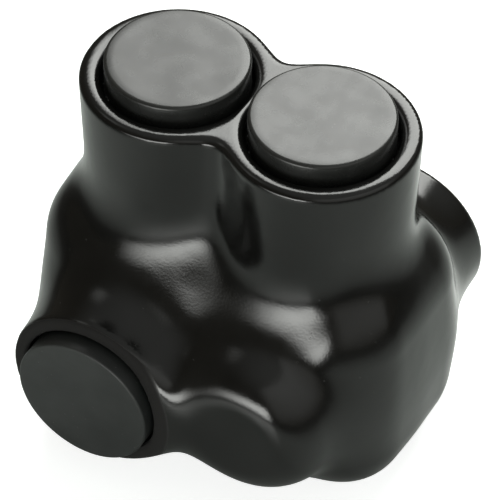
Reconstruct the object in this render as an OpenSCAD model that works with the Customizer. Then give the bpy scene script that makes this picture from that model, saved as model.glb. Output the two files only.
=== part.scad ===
// Insulated splice connector for two conductors: an aluminium block under a dipped plastisol cover,
// one set screw tower over each wire port, the ports on opposite sides.
// Millimetres. X runs along the row of towers, Y to the rear, Z up. The base rests on z = 0.

/* [Cover block] */
// Width of the cover's block, along the row of towers
block_width = 55; // [53:0.5:60]
// Depth of the cover's block, front to back
block_depth = 28; // [27:0.5:31]
// Height of the cover's block, up to the shoulder
block_height = 35.8; // [35:0.2:38]
// Rounding of the block's edges
block_round = 8.2; // [7:0.2:9]
// Wall of the coat round the aluminium block
coat_wall = 3; // [2.6:0.1:3.2]

/* [Screw towers] */
// Distance between the two tower axes
tower_pitch = 22.3; // [21.6:0.1:23]
// Tower radius at the rim
tower_radius = 13.4; // [13.2:0.1:14]
// Tower radius at its foot
tower_foot_radius = 12.8; // [12.3:0.1:13.2]
// Height of the rim over the base
rim_height = 55.9; // [54:0.1:60]
// Outer rounding of the rim
rim_round = 0.9; // [0.8:0.1:1.4]
// Inner rounding of the rim
lip_round = 1.1; // [0.6:0.1:1.3]
// Reach of the fillet between the two towers at the rim
rim_web = 5; // [4:0.2:7]
// Reach of the fillet between the two towers at their feet
foot_web = 9.6; // [8:0.2:11]
// Reach of the fillet round the towers' feet
foot_fillet = 6.6; // [5:0.2:8]

/* [Wire ports] */
// Height of the wire axes over the base
wire_height = 15.5; // [15.3:0.1:16]
// Outer radius of the port barrels
port_radius = 12.6; // [12.4:0.1:13]
// Distance of the front port's mouth from the middle
port_reach = 24.5; // [24:0.1:26]
// Distance of the rear port's mouth from the middle: its collar is the longer one
rear_reach = 26.4; // [25:0.1:26.5]
// Rounding of the mouth's outer edge
mouth_round = 0.8; // [0.7:0.1:1.2]
// Reach of the fillet round the barrels
port_fillet = 9.5; // [8:0.5:11]

/* [Closed bosses] */
// Radius of the closed boss opposite each port
boss_radius = 10.8; // [10:0.1:11.2]
// Distance of the boss's end from the middle
boss_reach = 23.5; // [22.5:0.1:25]
// How far the boss sits above the wire axis
boss_rise = 1.2; // [0.9:0.1:1.5]
// Rounding of the boss's end
boss_round = 5.2; // [4.5:0.1:5.6]
// Reach of the fillet round the boss
boss_fillet = 8.8; // [7:0.2:10]

/* [Connector body] */
// Radius of the wire bores
bore_radius = 6.7; // [6:0.1:6.9]
// Rounding of the body's upright edges and of its front outline
body_round = 6; // [5:0.5:7]
// How much wider than its bore the pocket for a wire's end is, in radius
pocket_gap = 0.2; // [0.1:0.1:0.4]
// Length of the pocket for a wire's end, beyond the body
pocket_length = 5; // [4.5:0.5:6]
// Gap between the body and the coat round it
coat_gap = 0.05; // [0.02:0.01:0.1]

/* [Set screws] */
// Thread radius of the set screws, under that of the wire bores
screw_radius = 6.35; // [5.8:0.05:6.4]
// Length of a set screw
screw_length = 11; // [10:0.5:12]
// Width across the flats of the hexagon socket
socket_width = 6.35; // [5.5:0.05:7]
// Depth of the hexagon socket
socket_depth = 6; // [4:0.5:7]
// Chamfer of the set screws' upper edge
screw_chamfer = 0.7; // [0.4:0.1:1]
// Chamfer of the set screws' point, which presses on the wire
screw_point = 1.4; // [1:0.1:2]
// Radial gap of the thread in its hole
screw_gap = 0.05; // [0.03:0.01:0.1]
// Gap between the backed out screw and the wire bore
screw_clear = 0.4; // [0.2:0.1:0.6]

/* [Screw caps] */
// Radius of a cap's head
cap_radius = 10; // [9.8:0.1:10.1]
// Gap between the head and the tower's seat, all round
cap_gap = 0.45; // [0.3:0.05:0.5]
// How far the head stands over the rim
cap_proud = 2.6; // [2:0.1:3.5]
// Depth of the head's seat below the rim
cap_seat = 3; // [2.6:0.1:3.6]
// Length of the cap's skirt below the seat
cap_skirt = 6.5; // [5:0.5:8]

/* [Wire plugs] */
// Radius of a wire plug's head
plug_radius = 10.2; // [10:0.1:10.3]
// Gap between the head and the port's seat, all round
plug_gap = 0.4; // [0.3:0.05:0.45]
// How far the head stands out of the mouth
plug_proud = 2.4; // [1.8:0.1:2.8]
// Depth of the head's seat in the mouth
plug_seat = 2.5; // [2.2:0.1:3]
// Length of the plug's skirt behind the seat
plug_skirt = 6.5; // [5:0.5:8]

/* [Caps and plugs together] */
// Radius of the towers' and ports' hollows
hollow_radius = 8.9; // [8.7:0.1:9]
// Radial gap of a skirt in its hollow
skirt_gap = 0.08; // [0.05:0.01:0.1]
// Wall of the skirts
skirt_wall = 1.5; // [1.2:0.1:2]
// Rounding of the heads' edges
head_round = 0.5; // [0.3:0.1:0.8]
// Gap under the heads, over their seats
seat_gap = 0.2; // [0.1:0.05:0.3]
// Thickness of the heads over the skirt's hollow
head_floor = 2.4; // [2:0.1:3]

/* [Skin] */
// Longest side of the cells that the skin is laid through
skin_step = 2.2; // [2.1:0.1:2.6]
// How far the skin's edges may lie off its curve
skin_slack = 0.09; // [0.08:0.01:0.15]

/* [Hidden] */
tower_x = tower_pitch/2;
body_half = [block_width/2 - coat_wall, block_depth/2 - coat_wall];
body_top = block_height - coat_wall;
body_bottom = coat_wall;
screw_tip = wire_height + bore_radius + screw_clear;
socket_radius = socket_width/sqrt(3);
seat_radius = cap_radius + cap_gap;
mouth_radius = plug_radius + plug_gap;
skirt_radius = hollow_radius - skirt_gap;
pocket_radius = bore_radius + pocket_gap;
pocket_reach = body_half[1] + pocket_length;
rim_band = 3.6;
rim_step = 0.8;
past = 1;
round_fn = 72;

// Distance fields of the coat's outer skin: below zero inside, above zero outside.

// Joins two fields with a fillet that starts where they differ by less than reach.
function joined(a, b, reach) =
  let (h = max(reach - abs(a - b), 0)) min(a, b) - h*h/(4*reach);

// A wall that ends at a flat face, with its edge rounded.
function rounded_end(wall, face, edge) =
  let (a = wall + edge, b = face + edge)
  norm([max(a, 0), max(b, 0)]) + min(max(a, b), 0) - edge;

// The block with all its edges rounded.
function block_field(p) =
  let (
    half = [block_width, block_depth, block_height]/2,
    q = [abs(p[0]), abs(p[1]), abs(p[2] - half[2])] - half + [1, 1, 1]*block_round
  )
  norm([for (v = q) max(v, 0)]) + min(max(q), 0) - block_round;

// The wall of the pair of towers, a little wider at the rim than at the foot, with a web between them.
function towers_wall(p) =
  let (
    rise = min(max((p[2] - block_height)/(rim_height - block_height), 0), 1),
    radius = tower_foot_radius + (tower_radius - tower_foot_radius)*rise,
    web = foot_web + (rim_web - foot_web)*rise,
    left = norm([p[0] + tower_x, p[1]]) - radius,
    right = norm([p[0] - tower_x, p[1]]) - radius
  )
  joined(left, right, web);

// The pair of towers, from the wire axes up to the rim.
function towers_field(p) =
  rounded_end(towers_wall(p), max(p[2] - rim_height, wire_height - p[2]), rim_round);

// How far from the middle a port's mouth lies.
function mouth_reach(side) = side < 0 ? port_reach : rear_reach;

// The wall of a port barrel. side is -1 for the front port, under the left tower, and 1 for the rear port.
function port_wall(p, side) = norm([p[0] - side*tower_x, p[2] - wire_height]) - port_radius;

// A port barrel, from the middle out to its mouth.
function port_field(p, side) =
  rounded_end(port_wall(p, side), max(side*p[1] - mouth_reach(side), -side*p[1]), mouth_round);

// The closed boss on the other side of the same wire axis.
function boss_field(p, side) =
  let (wall = norm([p[0] - side*tower_x, p[2] - wire_height - boss_rise]) - boss_radius)
  rounded_end(wall, max(-side*p[1] - boss_reach, side*p[1]), boss_round);

// The whole outer skin.
function skin_field(p) =
  let (
    upright = joined(block_field(p), towers_field(p), foot_fillet),
    ports = min(port_field(p, -1), port_field(p, 1)),
    bosses = min(boss_field(p, -1), boss_field(p, 1))
  )
  joined(joined(upright, ports, port_fillet), bosses, boss_fillet);

// Moves a point that is near the skin onto it.
function onto_skin(p) =
  let (
    e = 0.02,
    d = skin_field(p),
    slope = [skin_field(p + [e, 0, 0]) - d, skin_field(p + [0, e, 0]) - d, skin_field(p + [0, 0, e]) - d]/e
  )
  p - slope*d/(slope*slope);

// Middle of the rounded edge between a wall and the face that it ends at, next to a point.
function edge_middle(p, wall, wall_slope, face, face_slope, edge) =
  let (inset = edge*(1 - sqrt(1/2)))
  p - wall_slope*(wall + inset)/(wall_slope*wall_slope) - face_slope*(face + inset);

// Middle of the rim's edge, next to a point.
function rim_middle(p) =
  let (e = 0.02, d = towers_wall(p))
  edge_middle(p, d, [towers_wall(p + [e, 0, 0]) - d, towers_wall(p + [0, e, 0]) - d, 0]/e,
              p[2] - rim_height, [0, 0, 1], rim_round);

// Middle of a mouth's edge, next to a point.
function mouth_middle(p, side) =
  let (out = [p[0] - side*tower_x, 0, p[2] - wire_height])
  edge_middle(p, port_wall(p, side), out/norm(out),
              side*p[1] - mouth_reach(side), [0, side, 0], mouth_round);

// Evenly spaced values from a to b, no further apart than step.
function spread(a, b, step) =
  let (n = ceil((b - a)/step)) [for (i = [0:n]) a + (b - a)*i/n];

corners = [for (a = [0, 1], b = [0, 1], c = [0, 1]) [a, b, c]];
corner_pairs = [for (a = [0:6], b = [a + 1:7]) if (norm(corners[a] - corners[b]) == 1) [a, b]];

// Whether a point lies in the box between two corners or just outside it, on the skin.
function is_held(p, low, high) =
  let (along = [for (i = [0:2]) (p[i] - low[i])/(high[i] - low[i])])
  min(along) > -0.15 && max(along) < 1.15 && abs(skin_field(p)) < skin_slack/2;

// Where the skin passes through a cell, from its corners and the field's values there: the mean of its
// edge crossings, or the middle of the rim's or a mouth's edge where the cell holds that.
function cell_point(spots, values) =
  let (
    crossings = [
      for (e = corner_pairs)
        let (a = values[e[0]], b = values[e[1]])
        if ((a < 0) != (b < 0)) spots[e[0]] + (spots[e[1]] - spots[e[0]])*a/(a - b)
    ],
    total = [for (c = crossings) 1]*crossings,
    p = onto_skin(total/len(crossings)),
    middles = [
      for (m = [rim_middle(p), mouth_middle(p, -1), mouth_middle(p, 1)])
        if (is_held(m, spots[0], spots[7])) m
    ]
  )
  len(middles) > 0 ? onto_skin(middles[0]) : p;

// Splits a face with four corners along the diagonal that lies nearer to the skin. flip turns it over.
function two_triangles(a, b, c, d, flip = false) =
  flip ? two_triangles(d, c, b, a) :
  abs(skin_field((a + c)/2)) < abs(skin_field((b + d)/2)) ? [[a, b, c], [a, c, d]] : [[b, c, d], [b, d, a]];

// Splits one triangle at those edges whose middle lies further than slack off the skin.
function split(t, slack) =
  let (
    middles = [for (e = [0:2]) (t[e] + t[(e + 1)%3])/2],
    far = [for (m = middles) abs(skin_field(m)) > slack ? 1 : 0],
    count = far*[1, 1, 1],
    m = [for (e = [0:2]) far[e] > 0 ? onto_skin(middles[e]) : middles[e]],
    // the corner to start at: before the one far edge, or before the one near edge
    e = count == 1 ? far*[0, 1, 2] : count == 2 ? 3 - far*[0, 1, 2] : 0,
    a = t[e],
    b = t[(e + 1)%3],
    c = t[(e + 2)%3],
    ab = m[e],
    bc = m[(e + 1)%3],
    ca = m[(e + 2)%3]
  )
  count == 0 ? [t] :
  count == 1 ? [[a, ab, c], [ab, b, c]] :
  count == 2 ? concat([[ca, bc, c]], two_triangles(a, b, bc, ca)) :
  [[a, ab, ca], [ab, b, bc], [ca, bc, c], [ab, bc, ca]];

// The skin as one closed surface: a point in every cell that it passes through,
// and a four sided face round every cell edge that it crosses.
module skin() {
  margin = 2.2*skin_step;
  xs = spread(-block_width/2 - margin, block_width/2 + margin, skin_step);
  ys = spread(-port_reach - margin, rear_reach + margin, skin_step);
  wall_zs = spread(-margin, rim_height - rim_band, skin_step);
  rim_zs = spread(rim_height - rim_band, rim_height + past, rim_step);
  zs = concat(wall_zs, [for (i = [1:len(rim_zs) - 1]) rim_zs[i]]);
  nx = len(xs) - 1;
  ny = len(ys) - 1;
  nz = len(zs) - 1;
  values = [for (x = xs) [for (y = ys) [for (z = zs) skin_field([x, y, z])]]];
  cells = [for (i = [0:nx - 1], j = [0:ny - 1], k = [0:nz - 1]) [i, j, k]];
  cell_values = [for (c = cells) [for (o = corners) values[c[0] + o[0]][c[1] + o[1]][c[2] + o[2]]]];
  crossed = [for (v = cell_values) min(v) < 0 && max(v) >= 0];
  // the number of crossed cells before each cell is the index of that cell's point
  index = [for (c = 0, n = 0; c < len(cells); n = n + (crossed[c] ? 1 : 0), c = c + 1) n];
  points = [
    for (c = [0:len(cells) - 1])
      if (crossed[c])
        let (
          n = cells[c],
          spots = [for (o = corners) [xs[n[0] + o[0]], ys[n[1] + o[1]], zs[n[2] + o[2]]]]
        )
        cell_point(spots, cell_values[c])
  ];
  function at(i, j, k) = points[index[(i*ny + j)*nz + k]];
  triangles = [
    for (i = [1:nx - 1], j = [1:ny - 1], k = [1:nz - 1])
      let (here = values[i][j][k] < 0)
      each concat(
        here == (values[i + 1][j][k] < 0) ? [] :
          two_triangles(at(i, j - 1, k - 1), at(i, j - 1, k), at(i, j, k), at(i, j, k - 1), !here),
        here == (values[i][j + 1][k] < 0) ? [] :
          two_triangles(at(i - 1, j, k - 1), at(i, j, k - 1), at(i, j, k), at(i - 1, j, k), !here),
        here == (values[i][j][k + 1] < 0) ? [] :
          two_triangles(at(i - 1, j - 1, k), at(i - 1, j, k), at(i, j, k), at(i, j - 1, k), !here)
      )
  ];
  halved = [for (t = triangles) each split(t, skin_slack)];
  fine = [for (t = halved) each split(t, skin_slack)];
  polyhedron(
    [for (t = fine) each t],
    [for (i = [0:len(fine) - 1]) [3*i, 3*i + 1, 3*i + 2]],
    convexity = 8
  );
}

// Stands its children on a tower axis, at a height over the base.
module on_tower(side, height) {
  translate([side*tower_x, 0, height]) children();
}

// Lays its children along a wire axis: their +Z points out of the port, from a distance off the middle.
module in_port(side, reach) {
  translate([side*tower_x, side*reach, wire_height]) rotate([-side*90, 0, 0]) children();
}

// The aluminium block's outline, grown by a gap: rounded in front view and in plan.
module body_outline(gap) {
  half = body_half + [gap, gap];
  rounding = body_round + gap;
  intersection() {
    translate([0, 0, body_bottom - gap])
      linear_extrude(body_top - body_bottom + 2*gap) rounded_rectangle(half[0], half[1], rounding);
    translate([0, half[1], (body_top + body_bottom)/2]) rotate([90, 0, 0])
      linear_extrude(2*half[1]) rounded_rectangle(half[0], (body_top - body_bottom)/2 + gap, rounding);
  }
}

// A flat rectangle with round corners, built of bars and discs.
module rounded_rectangle(half_x, half_y, rounding) {
  square([2*half_x, 2*(half_y - rounding)], center = true);
  square([2*(half_x - rounding), 2*half_y], center = true);
  for (x = [-1, 1], y = [-1, 1])
    translate([x*(half_x - rounding), y*(half_y - rounding)]) circle(rounding, $fn = round_fn);
}

// The funnel that rounds a hole's inner lip. The hole has a radius of hole and ends at z = 0.
module lip_funnel(hole, rounding) {
  rotate_extrude($fn = round_fn) difference() {
    translate([0, -rounding]) square([hole + rounding, rounding + past]);
    translate([hole + rounding, -rounding]) circle(rounding, $fn = round_fn);
  }
}

// A push-in cup with a round-edged head: the head's face at z = 0, the skirt below it.
module cup(radius, head, skirt) {
  color([0.22, 0.22, 0.22]) difference() {
    rotate_extrude($fn = round_fn) {
      translate([0, -head]) square([radius, head - head_round]);
      square_head = radius - head_round;
      translate([0, -head_round]) square([square_head, head_round]);
      translate([square_head, -head_round]) intersection() {
        circle(head_round, $fn = round_fn);
        square(head_round);
      }
      translate([0, -head - skirt]) square([skirt_radius, skirt + 0.01]);
    }
    translate([0, 0, -head - skirt - past])
      cylinder(h = head + skirt + past - head_floor, r = skirt_radius - skirt_wall, $fn = round_fn);
  }
}

// The dipped cover: one soft skin with two screw towers, two open ports and two closed bosses.
module insulating_cover() {
  color([0.05, 0.05, 0.05]) difference() {
    skin();
    translate([-block_width, -block_width, -block_width]) cube([2*block_width, 2*block_width, block_width]);
    body_outline(coat_gap);
    for (side = [-1, 1]) {
      on_tower(side, body_top - past)
        cylinder(h = rim_height - body_top + 2*past, r = hollow_radius, $fn = round_fn);
      on_tower(side, rim_height - cap_seat) cylinder(h = cap_seat + past, r = seat_radius, $fn = round_fn);
      on_tower(side, rim_height) lip_funnel(seat_radius, lip_round);
      in_port(side, body_half[1] - past)
        cylinder(h = mouth_reach(side) - body_half[1] + 2*past, r = hollow_radius, $fn = round_fn);
      in_port(side, port_reach - plug_seat)
        cylinder(h = mouth_reach(side) - port_reach + plug_seat + past, r = mouth_radius, $fn = round_fn);
      in_port(side, -pocket_reach)
        cylinder(h = pocket_reach - body_half[1] + past, r = pocket_radius, $fn = round_fn);
    }
  }
}

// The aluminium block: a wire bore through it under each tower, and a screw hole down into each bore.
module connector_body() {
  color([0.75, 0.76, 0.78]) difference() {
    body_outline(0);
    for (side = [-1, 1]) {
      in_port(side, -body_half[1] - past)
        cylinder(h = 2*body_half[1] + 2*past, r = bore_radius, $fn = round_fn);
      on_tower(side, wire_height)
        cylinder(h = body_top - wire_height + past, r = screw_radius + screw_gap, $fn = round_fn);
    }
  }
}

// A headless set screw with chamfered ends and a hexagon socket.
module set_screw(side) {
  color([0.62, 0.63, 0.65]) on_tower(side, screw_tip) difference() {
    rotate_extrude($fn = round_fn) polygon([
      [0, 0],
      [screw_radius - screw_point, 0],
      [screw_radius, screw_point],
      [screw_radius, screw_length - screw_chamfer],
      [screw_radius - screw_chamfer, screw_length],
      [0, screw_length]
    ]);
    translate([0, 0, screw_length - socket_depth])
      cylinder(h = socket_depth + past, r = socket_radius, $fn = 6);
  }
}

// A cap that closes a tower over its set screw.
module screw_cap(side) {
  on_tower(side, rim_height + cap_proud) cup(cap_radius, cap_proud + cap_seat - seat_gap, cap_skirt);
}

// A plug that closes a port until a wire goes in. Both sit at the same distance from the middle.
module wire_plug(side) {
  in_port(side, port_reach + plug_proud) cup(plug_radius, plug_proud + plug_seat - seat_gap, plug_skirt);
}

module set_screw_left() { set_screw(-1); }
module set_screw_right() { set_screw(1); }
module screw_cap_left() { screw_cap(-1); }
module screw_cap_right() { screw_cap(1); }
module wire_plug_front() { wire_plug(-1); }
module wire_plug_rear() { wire_plug(1); }

insulating_cover();
connector_body();
set_screw_left();
set_screw_right();
screw_cap_left();
screw_cap_right();
wire_plug_front();
wire_plug_rear();
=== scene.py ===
"""Insulated splice connector, dressed for its photograph.

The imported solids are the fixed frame. The dipped cover, its caps and plugs and the
set screws are modelled again here with their soft forms, threads and finishes, and
the aluminium body keeps its solid. Sizes in the classes are millimetres, as in the
part's source; meshes are metres.
"""

import logging
import math
from contextlib import contextmanager
from dataclasses import dataclass, field
from enum import Enum
from typing import Callable, Iterator, Sequence

import bmesh
import bpy
import numpy as np
from mathutils import Matrix, Vector, noise


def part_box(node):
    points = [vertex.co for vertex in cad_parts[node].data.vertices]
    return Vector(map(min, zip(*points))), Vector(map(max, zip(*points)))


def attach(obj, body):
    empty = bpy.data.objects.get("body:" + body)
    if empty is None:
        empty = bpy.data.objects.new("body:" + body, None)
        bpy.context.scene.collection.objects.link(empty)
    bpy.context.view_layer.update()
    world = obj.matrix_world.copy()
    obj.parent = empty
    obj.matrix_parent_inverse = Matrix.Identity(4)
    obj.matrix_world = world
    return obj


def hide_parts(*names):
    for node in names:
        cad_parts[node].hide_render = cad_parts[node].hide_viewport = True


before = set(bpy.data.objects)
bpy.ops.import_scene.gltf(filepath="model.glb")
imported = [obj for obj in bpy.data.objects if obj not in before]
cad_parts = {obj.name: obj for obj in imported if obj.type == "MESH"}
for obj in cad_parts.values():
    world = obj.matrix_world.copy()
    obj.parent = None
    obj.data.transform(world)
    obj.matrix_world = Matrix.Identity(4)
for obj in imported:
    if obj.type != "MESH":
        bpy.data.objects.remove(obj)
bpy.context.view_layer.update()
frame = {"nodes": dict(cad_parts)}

MM = 0.001

# In millimetres: where the wire ways' axes and the caps' and plugs' outer faces lie, and
# how close two points are to count as one.
TOWER_X = 11.15
WIRE_Z = 15.5
CAP_FACE = 58.5
PLUG_FACE = 26.9
CLOSE = 0.01

LOG = logging.getLogger("splice_connector")


class Side(Enum):
    """The two wire ways: front port under the left tower, rear port under the right."""

    FRONT_LEFT = -1
    REAR_RIGHT = 1


class Cut(Enum):
    """What a boolean does with its tool."""

    AWAY = "DIFFERENCE"
    KEEP = "INTERSECT"


# Hand tools


def put_down() -> None:
    """Leaves edit mode and deselects everything."""
    if bpy.context.mode != "OBJECT":
        bpy.ops.object.mode_set(mode="OBJECT")
    bpy.ops.object.select_all(action="DESELECT")
    bpy.context.view_layer.objects.active = None


def take(*objects: bpy.types.Object) -> None:
    """Selects some objects and makes the first one active.

    Args:
        objects: The objects, the one to work on first.
    """
    put_down()
    for obj in objects:
        obj.select_set(True)
    bpy.context.view_layer.objects.active = objects[0]


@contextmanager
def editing(obj: bpy.types.Object) -> Iterator[None]:
    """Works on one object in edit mode, with nothing selected at the start.

    Args:
        obj: The object to edit.
    """
    take(obj)
    bpy.ops.object.mode_set(mode="EDIT")
    bpy.ops.mesh.select_all(action="DESELECT")
    yield
    bpy.ops.object.mode_set(mode="OBJECT")


def pick_faces(test: Callable[[Vector, Vector], bool]) -> None:
    """Selects faces of the mesh in edit mode.

    Args:
        test: Says from a face's middle and normal, in millimetres, whether it is wanted.
    """
    bpy.ops.mesh.select_mode(type="FACE")
    bpy.ops.mesh.select_all(action="DESELECT")
    data = bpy.context.edit_object.data
    mesh = bmesh.from_edit_mesh(data)
    for face in mesh.faces:
        face.select_set(test(face.calc_center_median() / MM, face.normal))
    bmesh.update_edit_mesh(data)


def pick_edges(test: Callable[[Vector, Vector], bool]) -> None:
    """Selects edges of the mesh in edit mode.

    Args:
        test: Says from an edge's two ends, in millimetres, whether it is wanted.
    """
    bpy.ops.mesh.select_mode(type="EDGE")
    bpy.ops.mesh.select_all(action="DESELECT")
    data = bpy.context.edit_object.data
    mesh = bmesh.from_edit_mesh(data)
    for edge in mesh.edges:
        edge.select_set(test(edge.verts[0].co / MM, edge.verts[1].co / MM))
    mesh.select_flush_mode()
    bmesh.update_edit_mesh(data)


def ring_at(height: float, radius: float) -> Callable[[Vector, Vector], bool]:
    """A test for the edges of one ring round the Z axis.

    Args:
        height: The ring's height in millimetres.
        radius: The ring's radius in millimetres.

    Returns:
        A test for pick_edges.
    """

    def on_ring(point: Vector) -> bool:
        """True if a point lies on the ring."""
        return abs(point.z - height) < CLOSE and abs(point.xy.length - radius) < 2 * CLOSE

    return lambda a, b: on_ring(a) and on_ring(b)


def settle_place(obj: bpy.types.Object) -> None:
    """Puts an object's place, turn and scale into its mesh."""
    take(obj)
    bpy.ops.object.transform_apply(location=True, rotation=True, scale=True)


def add_cylinder(
    name: str,
    radius: float,
    start: Sequence[float],
    end: Sequence[float],
    sides: int = 96,
) -> bpy.types.Object:
    """Adds a round bar between two points.

    Args:
        name: The object's name.
        radius: Its radius in millimetres.
        start: The middle of its first end, in millimetres.
        end: The middle of its other end, in millimetres.
        sides: How many sides the bar has.

    Returns:
        The new object, with its place in its mesh.
    """
    a, b = Vector(start) * MM, Vector(end) * MM
    put_down()
    bpy.ops.mesh.primitive_cylinder_add(
        vertices=sides,
        radius=radius * MM,
        depth=(b - a).length,
        location=(a + b) / 2,
        rotation=(b - a).to_track_quat("Z", "Y").to_euler(),
    )
    bar = bpy.context.active_object
    bar.name = bar.data.name = name
    settle_place(bar)
    return bar


def add_box(name: str, low: Sequence[float], high: Sequence[float]) -> bpy.types.Object:
    """Adds a box between two corners.

    Args:
        name: The object's name.
        low: Its lowest corner in millimetres.
        high: Its highest corner in millimetres.

    Returns:
        The new object, with its place in its mesh.
    """
    a, b = Vector(low) * MM, Vector(high) * MM
    put_down()
    bpy.ops.mesh.primitive_cube_add(size=1, location=(a + b) / 2, scale=b - a)
    box = bpy.context.active_object
    box.name = box.data.name = name
    settle_place(box)
    return box


def add_cone(sides: int, foot: float, head: float, low: float, high: float) -> bpy.types.Object:
    """Adds a cut-off cone on the Z axis.

    Args:
        sides: How many sides the cone has.
        foot: Its lower radius in millimetres.
        head: Its upper radius in millimetres.
        low: The height of its lower end in millimetres.
        high: The height of its upper end in millimetres.

    Returns:
        The new object, with its place in its mesh.
    """
    put_down()
    bpy.ops.mesh.primitive_cone_add(
        vertices=sides,
        radius1=foot * MM,
        radius2=head * MM,
        depth=(high - low) * MM,
        location=(0, 0, (low + high) / 2 * MM),
    )
    cone = bpy.context.active_object
    settle_place(cone)
    return cone


def bevel_edges(
    obj: bpy.types.Object,
    test: Callable[[Vector, Vector], bool],
    width: float,
    segments: int,
) -> None:
    """Rounds some edges of an object.

    Args:
        obj: The object.
        test: A test for pick_edges.
        width: The rounding in millimetres.
        segments: How many faces go round it.
    """
    with editing(obj):
        pick_edges(test)
        bpy.ops.mesh.bevel(offset=width * MM, segments=segments, profile=0.5)


def finish_with(obj: bpy.types.Object, kind: str, **settings: object) -> None:
    """Adds a modifier to an object and applies it.

    Args:
        obj: The object.
        kind: The modifier's type.
        settings: Values for the modifier.
    """
    take(obj)
    step = obj.modifiers.new(kind.lower(), kind)
    for key, value in settings.items():
        setattr(step, key, value)
    bpy.ops.object.modifier_apply(modifier=step.name)


def carve(obj: bpy.types.Object, tool: bpy.types.Object, cut: Cut = Cut.AWAY) -> None:
    """Cuts an object with a closed tool, which is used up.

    Args:
        obj: The object to cut.
        tool: The tool.
        cut: Whether the tool's space goes or stays.
    """
    finish_with(obj, "BOOLEAN", object=tool, operation=cut.value, solver="MANIFOLD")
    bpy.data.objects.remove(tool)


def even_out(obj: bpy.types.Object, cell: float) -> None:
    """Lays an even net of faces over a closed shape.

    Args:
        obj: The object.
        cell: The side of the net's cells in millimetres.
    """
    finish_with(obj, "REMESH", mode="VOXEL", voxel_size=cell * MM, adaptivity=0.0)


def smooth_below(obj: bpy.types.Object, degrees: float) -> None:
    """Shades an object smooth, except across edges sharper than an angle.

    Args:
        obj: The object.
        degrees: The angle.
    """
    take(obj)
    bpy.ops.object.shade_smooth_by_angle(angle=math.radians(degrees))


def points_of(obj: bpy.types.Object) -> np.ndarray:
    """Reads the points of an object's mesh.

    Args:
        obj: The object.

    Returns:
        The points in millimetres, as rows of three.
    """
    flat = np.empty(len(obj.data.vertices) * 3)
    obj.data.vertices.foreach_get("co", flat)
    return flat.reshape(-1, 3) / MM


def move_points(obj: bpy.types.Object, points: np.ndarray) -> None:
    """Moves the points of an object's mesh.

    Args:
        obj: The object.
        points: Their new places in millimetres, as rows of three.
    """
    obj.data.vertices.foreach_set("co", (points * MM).ravel())
    obj.data.update()


# Shader node groups and materials


class Graph:
    """A node tree with short ways to add nodes and links."""

    def __init__(self, tree: bpy.types.NodeTree) -> None:
        """Takes the tree that nodes are added to."""
        self.tree = tree

    def node(self, kind: str, **values: object) -> bpy.types.Node:
        """Adds a node.

        Args:
            kind: The node's type, without its ShaderNode prefix.
            values: Properties to set on it.

        Returns:
            The new node.
        """
        made = self.tree.nodes.new("ShaderNode" + kind)
        for key, value in values.items():
            setattr(made, key, value)
        return made

    def feed(self, socket: bpy.types.NodeSocket, value: object) -> None:
        """Links a socket to another, or sets its value.

        Args:
            socket: The input socket.
            value: An output socket, a number or a colour.
        """
        if isinstance(value, bpy.types.NodeSocket):
            self.tree.links.new(value, socket)
        else:
            socket.default_value = value

    def axes(self, where: bpy.types.NodeSocket) -> Sequence[bpy.types.NodeSocket]:
        """Parts coordinates.

        Args:
            where: The coordinates.

        Returns:
            Their x, y and z.
        """
        made = self.node("SeparateXYZ")
        self.feed(made.inputs[0], where)
        return made.outputs

    def noise(self, where: object, scale: object, detail: float = 2.0) -> bpy.types.NodeSocket:
        """Adds soft noise.

        Args:
            where: The coordinates.
            scale: Features in a metre.
            detail: How many finer layers it has.

        Returns:
            The noise's value.
        """
        made = self.node("TexNoise")
        self.feed(made.inputs["Vector"], where)
        self.feed(made.inputs["Scale"], scale)
        made.inputs["Detail"].default_value = detail
        return made.outputs["Fac"]

    def maths(self, work: str, a: object, b: object = 0.0) -> bpy.types.NodeSocket:
        """Adds a sum.

        Args:
            work: The kind of sum.
            a: Its first value.
            b: Its second value.

        Returns:
            The result.
        """
        made = self.node("Math", operation=work)
        self.feed(made.inputs[0], a)
        self.feed(made.inputs[1], b)
        return made.outputs[0]

    def reach(self, a: object, b: object) -> bpy.types.NodeSocket:
        """How far a point lies from an axis, by its two distances across it."""
        squares = (self.maths("MULTIPLY", v, v) for v in (a, b))
        return self.maths("SQRT", self.maths("ADD", *squares))

    def span(
        self, value: object, a: object, b: object, low: object, high: object
    ) -> bpy.types.NodeSocket:
        """Maps a value from one span onto another, softly, and holds it there.

        Args:
            value: The value.
            a: Start of the first span.
            b: End of the first span.
            low: Start of the second span.
            high: End of the second span.

        Returns:
            The mapped value.
        """
        made = self.node("MapRange", interpolation_type="SMOOTHSTEP")
        keys = ("Value", "From Min", "From Max", "To Min", "To Max")
        for key, item in zip(keys, (value, a, b, low, high)):
            self.feed(made.inputs[key], item)
        return made.outputs["Result"]

    def blend(self, share: object, a: object, b: object) -> bpy.types.NodeSocket:
        """Blends two colours.

        Args:
            share: How much of the second one shows.
            a: The first colour.
            b: The second colour.

        Returns:
            The colour.
        """
        made = self.node("Mix", data_type="RGBA")
        self.feed(made.inputs["Factor"], share)
        self.feed(made.inputs[6], a)
        self.feed(made.inputs[7], b)
        return made.outputs[2]


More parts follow.
